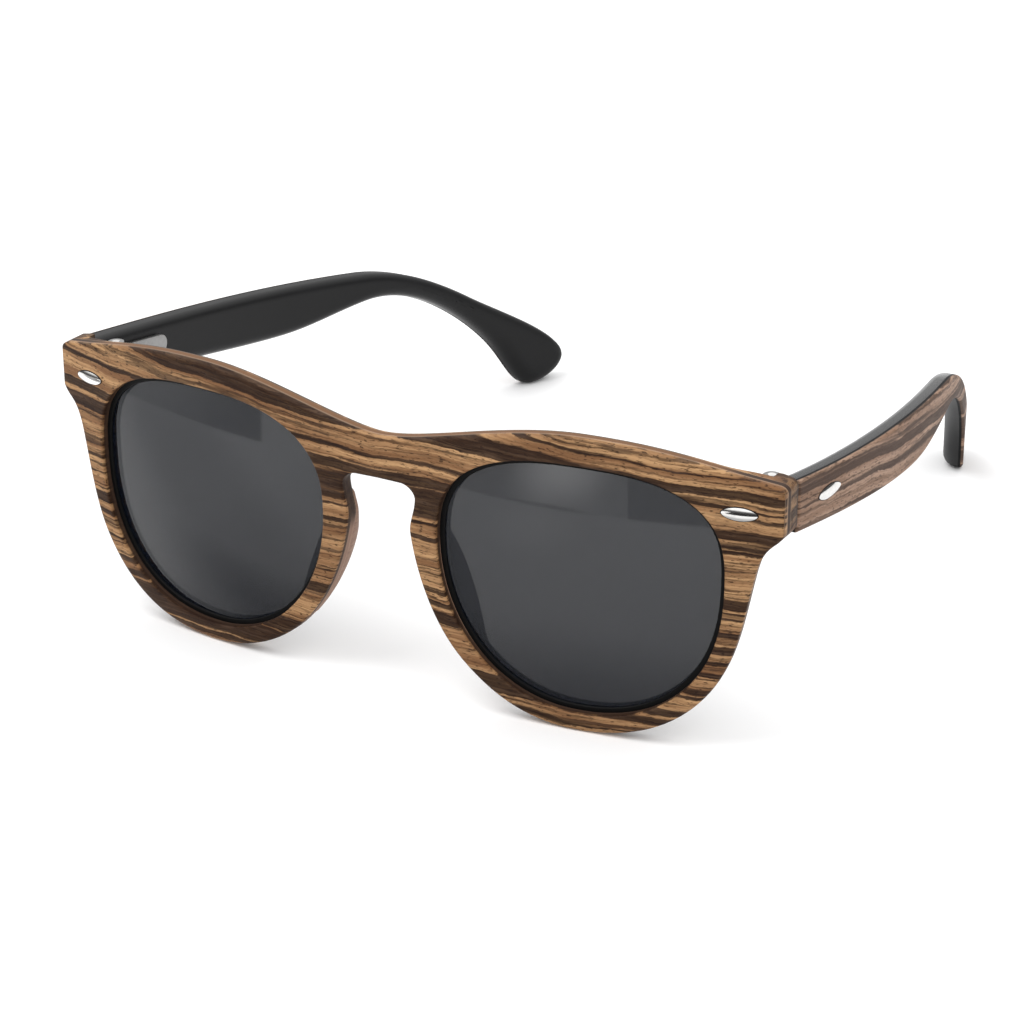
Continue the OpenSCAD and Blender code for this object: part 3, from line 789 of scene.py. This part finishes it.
def oval(net, long, wide, sink, edge, dome, seat):
    """A closed pointed oval. Its base lies sink below zero, its rim edge above it and its middle a dome
    higher."""
    grid = net.node("GeometryNodeMeshGrid", {
        "Size X": 2.0, "Size Y": 2.0, "Vertices X": 49, "Vertices Y": 17})
    u, v, _ = net.position()

    def half(u):
        return ((1 - u * u) | 0.0) ** 0.6 * (wide / 2)

    base = net.node("GeometryNodeSetPosition", {
        "Geometry": grid, "Position": net.vector(u * long / 2, v * half(u), sink * -1)})
    block = net.node("GeometryNodeExtrudeMesh", {
        "Mesh": base, "Offset": net.vector(0.0, 0.0, 1.0), "Offset Scale": sink + edge,
        "Individual": False}, mode="FACES")
    top, = net.outs(block, "Top")
    px, py, _ = net.position()
    lengthways = px / (long / 2)
    across = py / (half(lengthways) | 1e-7)
    crown = (1 - across * across) * (1 - lengthways * lengthways) * dome
    under = net.node("GeometryNodeFlipFaces", {"Mesh": base})
    whole = net.join(under, net.raised(block, crown, Selection=top))
    whole = net.node("GeometryNodeMergeByDistance", {"Geometry": whole, "Distance": 1e-6})
    return net.node("GeometryNodeStoreNamedAttribute", {"Geometry": whole, "Name": "seat", "Value": seat},
                    data_type="BOOLEAN", domain="FACE")


def rivet_tree(lay, shine, painted_gap_shadow):
    """Domed heads, each over a dark oval a little larger that paints the shadow of the gap around it, and
    each on two shanks with domed ends.
    """
    net, (points, long, wide, high, shank, gap, deep) = node_group(
        "Rivets", Length=lay.rivet_l, Width=lay.rivet_w, Height=lay.rivet_h, Shank=lay.shank_r,
        Gap=lay.shank_gap, Depth=lay.temple_t)
    more_long, more_wide, sink = 0.35 * MM, 0.3 * MM, high * 0.4
    head = oval(net, long, wide, sink, high * 0.2, high * 0.5, False)
    # The larger dark oval under the head is a painted shadow of the gap around the rivet
    seat = oval(net, long + more_long, wide + more_wide, sink, high * 0.05, high * 0.02, True)
    pin = net.node("GeometryNodeMeshCylinder", {
        "Vertices": 32, "Side Segments": 1, "Fill Segments": 4, "Radius": shank, "Depth": deep - high})
    x, y, z = net.position()
    dome = (1 - (x * x + y * y) / (shank * shank)) * (1 - z.step(-1e-5, 0.0)) * (shank * -0.3)
    pin = net.raised(pin, dome - (deep + high) / 2)
    pair = net.join(*(net.shift(pin, gap * i, 0.0, 0.0) for i in (-0.5, 0.5)))
    heads = placed(net, points, net.join(head, seat))
    return end_tree(net, net.join(heads, placed(net, points, pair, "pin_turn")), shine, painted_gap_shadow)


def screw_tree(lay, shine):
    """Domed and slotted heads, each on a pin. The heads are a little larger than the source's."""
    wider, higher, slot_w, overlap = 1.1, 1.6, 0.36 * MM, 0.02 * MM
    net, (points, radius, high, shank, long) = node_group(
        "Hinge screws", Radius=lay.screw_head_r * wider, Height=lay.screw_head_h * higher,
        Shank=lay.screw_r, Length=lay.barrel_h)
    body = net.node("GeometryNodeMeshCylinder", {
        "Vertices": 48, "Side Segments": 4, "Fill Segments": 8, "Radius": radius, "Depth": high})
    x, y, z = net.position()
    out = (x * x + y * y) / (radius * radius)
    above = z.step(0.0, 1e-5)
    body = net.raised(body, high / 2 - above * out * high * 0.3)
    slot = net.node("GeometryNodeMeshCube", {"Size": net.vector(radius * 3, slot_w, high * 0.9)})
    head = net.node("GeometryNodeMeshBoolean", {
        "Mesh 1": body, "Mesh 2": net.shift(slot, 0.0, 0.0, high)}, operation="DIFFERENCE")
    pin = net.node("GeometryNodeMeshCylinder", {"Vertices": 32, "Radius": shank, "Depth": long})
    pin = net.shift(pin, 0.0, 0.0, long / -2 + overlap)
    return end_tree(net, placed(net, points, net.join(head, pin)), shine)


def scatter(name, tree, spots, **sizes):
    """A plain mesh of a tree's shapes at spots of point, turn and the pins' turn."""
    mesh = bpy.data.meshes.new(name)
    mesh.from_pydata([spot[0] for spot in spots], [], [])
    for key, k in (("turn", 1), ("pin_turn", -1)):
        turns = mesh.attributes.new(key, "FLOAT_VECTOR", "POINT")
        for data, spot in zip(turns.data, spots):
            data.vector = spot[k]
    obj = add(name, mesh)
    modifier = obj.modifiers.new(name, "NODES")
    modifier.node_group = tree
    for item in tree.interface.items_tree:
        if item.in_out == "INPUT" and item.socket_type == "NodeSocketFloat":
            size = sizes[item.name] * MM if item.name in sizes else item.default_value
            modifier[item.identifier] = size
    settle(obj)
    smooth(obj)
    return obj


# Operators

class SUNGLASSES_OT_front(bpy.types.Operator):
    """Builds the three plies of the laminated front"""
    bl_idname = "sunglasses.front"
    bl_label = "Front"

    def execute(self, context):
        lay = Layout()
        loops = [lay.front_outline(), lay.lens_outline(0, 1), lay.lens_outline(0, -1)]
        slight, strip = 0.3, 2.5

        def outer(k, p):
            nose = 1 - smoothstep(13, 20, abs(p.x))
            end = smoothstep(60, 68, abs(p.x))
            brow = smoothstep(42, 44, p.y) * (1 - end)
            tight = max(nose, end) * (1 - brow)
            r = lay.hole_round if k else lay.front_round * (1 - 0.5 * tight)
            return round_front(r) + [(lay.outer_ply_t, 0)]

        def core(k, p):
            return [(lay.outer_ply_t, 0), (lay.inner_start, 0)]

        def inner(k, p):
            end = smoothstep(62, 68, abs(p.x)) * smoothstep(36, 40, p.y)
            r = slight if k else lay.back_round + (slight - lay.back_round) * end
            return [(lay.inner_start, 0)] + round_back(r, lay.front_t)

        face = slab("front_face", loops, outer, lay.on_front, strip, front_wood())
        dark = slab("front_core_layer", loops, core, lay.on_front, strip, core_wood())
        back = slab("front_back", loops, inner, lay.on_front, strip, back_wood())
        for _, side in SIDES:
            self.add_seat(lay, back, side)
        smooth(back)
        dress(face, "front", "striped_wood", "front_outer_ply")
        dress(dark, "front", "dark_wood", "front_core_ply")
        dress(back, "front", "striped_wood", "front_inner_ply")
        return {"FINISHED"}

    def add_seat(self, lay, back, side):
        """Joins the flat hinge seat behind an end piece to the back ply."""
        inboard, sunk, chamfer, edge = 60, 0.4, 0.6, 0.25
        start = lay.wrap_y(inboard, lay.inner_start) + sunk
        depth = lay.joint_y - start
        low = lay.end_bottom - lay.end_sweep
        high = lay.hinge_z + lay.barrel_h / 2 + lay.seat_edge
        left, right = lay.front_rivet_x - 3.7, lay.joint_x
        end = [p - Vector((0.02, 0)) for p in lay.front_half() if p.x > right and p.y > low]
        corners = ((right, end[-1].y), (right - chamfer, low + chamfer), (left + 2.4, low + chamfer),
                   (left, low + 3.6), (left, high), (right, high))
        outline = [Vector((right, end[0].y)), *end, *map(Vector, corners)]

        def place(x, d, z):
            return lay.place(side * x, start + d, z)

        seat = slab("seat", [outline[::-1]], lambda k, p: [(0, 0)] + round_back(edge, depth), place, 20)
        union = back.modifiers.new("seat", "BOOLEAN")
        union.operation, union.object, union.solver = "UNION", seat, "EXACT"
        settle(back)
        bpy.data.objects.remove(seat)


class SUNGLASSES_OT_nose_pads(bpy.types.Operator):
    """Builds the sanded nose pads behind the rims"""
    bl_idname = "sunglasses.nose_pads"
    bl_label = "Nose pads"

    def execute(self, context):
        lay, wood = Layout(), pad_wood()
        edge = lay.nose_edge()
        n = len(edge) - 1
        stations = [0.1, 0.3, 0.6, *range(1, n), n - 0.6, n - 0.3, n - 0.1]
        sections = [self.section(lay, edge, n, t) for t in stations]
        for name, side in SIDES:
            def place(x, depth, z):
                return lay.on_front(side * x, depth, z)
            pad = sweep(name + "_pad", sections, place, closed=False, material=wood)
            dress(pad, "front", "pale_wood", name + "_nose_pad")
        return {"FINISHED"}

    def section(self, lay, edge, n, t):
        """A section of a pad, at station t of n along the rim's edge. It starts with a root in the ply."""
        p = edge[int(t)].lerp(edge[min(int(t) + 1, n)], t % 1)
        towards = (Vector((lay.lens_x, lay.pad_z)) - p).normalized()
        margin, clear, taper, least = 0.5, 0.06, 1.4, 0.1
        width = (lay.pad_w - margin) * sqrt(sin(pi * t / n))
        start = clear + taper * (1 - smoothstep(0, 5, min(t, n - t)))
        centre_y = lay.wrap_y(lay.nose_half, lay.front_t) + lay.pad_d - lay.pad_r
        rise = centre_y + sqrt(lay.pad_r ** 2 - (p.y - lay.pad_z) ** 2) - lay.wrap_y(p.x, lay.front_t)
        rise = max(rise * (1 - smoothstep(lay.pad_z + 1, lay.pad_z + 11, p.y)), least)
        root, base, deep = min(width / 2, 2.4), lay.front_t - 0.02, lay.front_t - 1.2
        points = [(start + root, base), (start + root * 0.9, deep), (start + clear, deep)]
        turns, nose_share, lens_share = 20, 0.22, 0.12
        for j in range(turns + 1):
            s = 0.5 - 0.5 * cos(pi * j / turns)
            nose_side = sqrt(1 - (1 - min(s / nose_share, 1)) ** 2)
            lens_side = sqrt(1 - (1 - min((1 - s) / lens_share, 1)) ** 2)
            high = rise * (1 - 0.75 * smoothstep(0.3, 1, s)) * nose_side * lens_side
            away = 0.3 * rise * smoothstep(0.55, 1, s)
            points.append((start + s * width, base + high + away - 0.5 * (1 - nose_side)))
        spots = [(p + inset * towards, depth) for inset, depth in points]
        return [(q.x, depth, q.y) for q, depth in spots]


class SUNGLASSES_OT_lenses(bpy.types.Operator):
    """Builds the black liners and the lenses in them"""
    bl_idname = "sunglasses.lenses"
    bl_label = "Lenses and liners"

    def execute(self, context):
        lay = Layout()
        black, tint = liner_black(), lens_tint()
        start, back, lip = lay.liner_start, lay.front_t, 0.12
        lens_back = lay.lens_start + lay.lens_t
        inner, groove = -lay.liner_w, lay.lens_out
        section = [(0, start), (inner + lip, start), (inner, start + lip), (inner, lay.lens_start),
                   (groove, lay.lens_start), (groove, lens_back), (inner, lens_back),
                   (inner, back - lip), (inner + lip, back), (0, back)]
        for name, side in SIDES:
            rings = [[(p.x, depth, p.y) for p in lay.lens_outline(d, side)] for d, depth in section]
            liner = sweep(name + "_liner", rings, lay.on_front, material=black)
            dress(liner, "front", "liner", name + "_rim_liner")
            outline = lay.lens_outline(groove, side)[::-1]
            lens = slab(name + "_glass", [outline], lambda k, p: [(lay.lens_start, 0), (lens_back, 0)],
                        lay.on_front, 1.5, tint)
            dress(lens, "front", "lens", name + "_lens")
        return {"FINISHED"}


class SUNGLASSES_OT_temples(bpy.types.Operator):
    """Builds the temples' black cores and their veneer"""
    bl_idname = "sunglasses.temples"
    bl_label = "Temples"

    def execute(self, context):
        lay = Layout()
        black, wood = black_core(), veneer_wood()
        outline, strip = lay.temple_outline(), 3

        def tip(p):
            return smoothstep(lay.reach - 60, lay.reach - 12, p.x)

        def core(k, p):
            return [(lay.veneer_t, 0)] + round_back(lay.core_round * (1 + 0.5 * tip(p)), lay.temple_t)

        def veneer(k, p):
            return round_front(lay.veneer_round * (1 + 0.6 * tip(p))) + [(lay.veneer_t, 0)]

        for name, side in SIDES:
            body = name + "_temple"
            place = lay.on_temple(side)
            dress(slab(body + "_black", [outline], core, place, strip, black),
                  body, "black_core", body + "_core")
            dress(slab(body + "_wood", [outline], veneer, place, strip, wood),
                  body, "striped_wood", body + "_veneer")
        return {"FINISHED"}


class SUNGLASSES_OT_metal(bpy.types.Operator):
    """Builds the rivets and hinge screws, and finishes the hinge leaves"""
    bl_idname = "sunglasses.metal"
    bl_label = "Rivets and hinges"

    def execute(self, context):
        lay, shine, steel = Layout(), polished_metal(), brushed_steel()
        rivets, screws = rivet_tree(lay, shine, seat_shadow()), screw_tree(lay, shine)
        slot_turn, rivet_turn = radians(35), radians(5)
        x, front_y = lay.front_rivet_x, lay.wrap_y(lay.front_rivet_x, 0)
        y = lay.axis_y + lay.rivet_back
        z = lay.hinge_z - lay.rivet_back * tan(radians(lay.leaf_slope))
        bow = asin((y - lay.bow_mid) / lay.bow_r)
        fronts, pins = [], []
        for name, side in SIDES:
            body = name + "_temple"
            spot = lay.place(side * x, front_y, lay.hinge_z)
            fronts.append((spot, (pi / 2, 0, side * asin(x / lay.wrap_r)), (pi / 2, 0, 0)))
            spot = lay.place(side * lay.axis_x, lay.axis_y, lay.hinge_z + lay.barrel_h / 2)
            pins.append((spot, (0, 0, side * slot_turn)))
            spot = lay.place(side * lay.bow_side(y, 0), y, z)
            turns = (pi / 2, side * rivet_turn, side * (pi / 2 + bow)), (pi / 2, 0, side * pi / 2)
            rear = scatter(body + "_rivet_head", rivets, [(spot, *turns)],
                           Length=lay.temple_rivet_l, Depth=lay.temple_t + lay.leaf_t)
            dress(rear, body, "rivet_metal", body + "_rivet")
            self.leaf(name + "_front_hinge_leaf", "front", steel)
            self.leaf(body + "_hinge_leaf", body, steel)
        deep = lay.joint_y + lay.leaf_t - front_y
        dress(scatter("front_rivet_heads", rivets, fronts, Depth=deep), "front", "rivet_metal",
              "left_front_rivet", "right_front_rivet")
        dress(scatter("hinge_screw_heads", screws, pins), "front", "rivet_metal",
              "left_hinge_screw", "right_hinge_screw")
        return {"FINISHED"}

    def leaf(self, node, body, steel):
        """A hinge leaf with broken edges in the place of its CAD node."""
        bm = bmesh.new()
        bm.from_mesh(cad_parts[node].data)
        bmesh.ops.remove_doubles(bm, verts=bm.verts, dist=2e-6)
        bmesh.ops.dissolve_limit(bm, angle_limit=radians(2), verts=bm.verts, edges=bm.edges)
        obj = finish(node + "_steel", bm, steel)
        bevel = obj.modifiers.new("edges", "BEVEL")
        bevel.width, bevel.segments = 0.12 * MM, 2
        bevel.limit_method, bevel.angle_limit = "ANGLE", radians(40)
        settle(obj)
        smooth(obj)
        dress(obj, body, "hinge_metal", node)


class SUNGLASSES_OT_stage(bpy.types.Operator):
    """Sets the camera, the soft light and the white floor"""
    bl_idname = "sunglasses.stage"
    bl_label = "Stage"

    def execute(self, context):
        scene = context.scene
        view = bpy.data.cameras.new("Camera")
        view.lens, view.sensor_width = 103.5, 36
        view.clip_start, view.clip_end = 0.01, 50
        eye, target = Vector((0.2473, -0.4755, 0.2346)), Vector((0.01965, -0.0652, 0.0334))
        scene.camera = self.aim("Camera", view, eye, target)
        bm = bmesh.new()
        bmesh.ops.create_grid(bm, x_segments=1, y_segments=1, size=6)
        finish("floor", bm, floor_with_painted_reflections())
        for name, spot, size, watts in (("Key light", (-0.5, -0.6, 1.4), 0.9, 7),
                                        ("Fill light", (0.9, -0.4, 1.2), 0.8, 3)):
            light = bpy.data.lights.new(name, "AREA")
            light.shape, light.size, light.energy = "DISK", size, watts
            self.aim(name, light, Vector(spot), Vector())
        scene.world = self.studio()
        scene.view_settings.view_transform = "Standard"
        return {"FINISHED"}

    def aim(self, name, data, spot, target):
        """A camera or lamp at a spot, turned to a target."""
        obj = add(name, data)
        turn = (target - spot).to_track_quat("-Z", "Y").to_matrix().to_4x4()
        obj.matrix_world = Matrix.Translation(spot) @ turn
        return obj

    def studio(self):
        """A world that is white to the camera. Gloss meets a bright top, a dark horizon, and a pale wall
        behind on the left."""
        world = bpy.data.worlds.new("Studio")
        world.use_nodes = True
        world.node_tree.nodes.clear()
        net = Net(world.node_tree)
        seen = net.node("ShaderNodeLightPath", out="Is Camera Ray")
        glossy, through = net.outs(seen, "Is Glossy Ray", "Is Transmission Ray")
        side, back, up = net.parts(net.node("ShaderNodeTexCoord", out="Generated"))
        wall = back.step(0.1, 0.6) * (1 - side.step(-0.2, 0.2)) * 0.5
        soft = net.mix(up.step(0.0, 1.0), (0.42, 0.42, 0.43), (1.30, 1.30, 1.30))
        sky = net.mix(up.step(0.16, 0.45) | wall, (0.10, 0.10, 0.10), (1.5, 1.5, 1.5))
        shade = net.mix(seen | through, net.mix(glossy, soft, sky), (1.0, 1.0, 1.0))
        ground = net.node("ShaderNodeBackground", {"Color": shade, "Strength": 1.0})
        net.node("ShaderNodeOutputWorld", {"Surface": ground})
        return world


class SUNGLASSES_PT_build(bpy.types.Panel):
    """Lists the steps that build the sunglasses"""
    bl_idname = "SUNGLASSES_PT_build"
    bl_label = "Wooden Sunglasses"
    bl_space_type = "VIEW_3D"
    bl_region_type = "UI"
    bl_category = "Sunglasses"

    def draw(self, context):
        for step in STEPS:
            self.layout.operator(step.bl_idname)


STEPS = (SUNGLASSES_OT_front, SUNGLASSES_OT_nose_pads, SUNGLASSES_OT_lenses, SUNGLASSES_OT_temples,
         SUNGLASSES_OT_metal, SUNGLASSES_OT_stage)
CLASSES = (SunglassesSizes, SunglassesColours, *STEPS, SUNGLASSES_PT_build)


def register():
    for cls in CLASSES:
        bpy.utils.register_class(cls)
    bpy.types.Scene.sunglasses_sizes = PointerProperty(type=SunglassesSizes)
    bpy.types.Scene.sunglasses_colours = PointerProperty(type=SunglassesColours)


def unregister():
    del bpy.types.Scene.sunglasses_sizes
    del bpy.types.Scene.sunglasses_colours
    for cls in reversed(CLASSES):
        bpy.utils.unregister_class(cls)


def main():
    register()
    for step in (bpy.ops.sunglasses.front, bpy.ops.sunglasses.nose_pads, bpy.ops.sunglasses.lenses,
                 bpy.ops.sunglasses.temples, bpy.ops.sunglasses.metal, bpy.ops.sunglasses.stage):
        step()


if __name__ == "__main__":
    main()
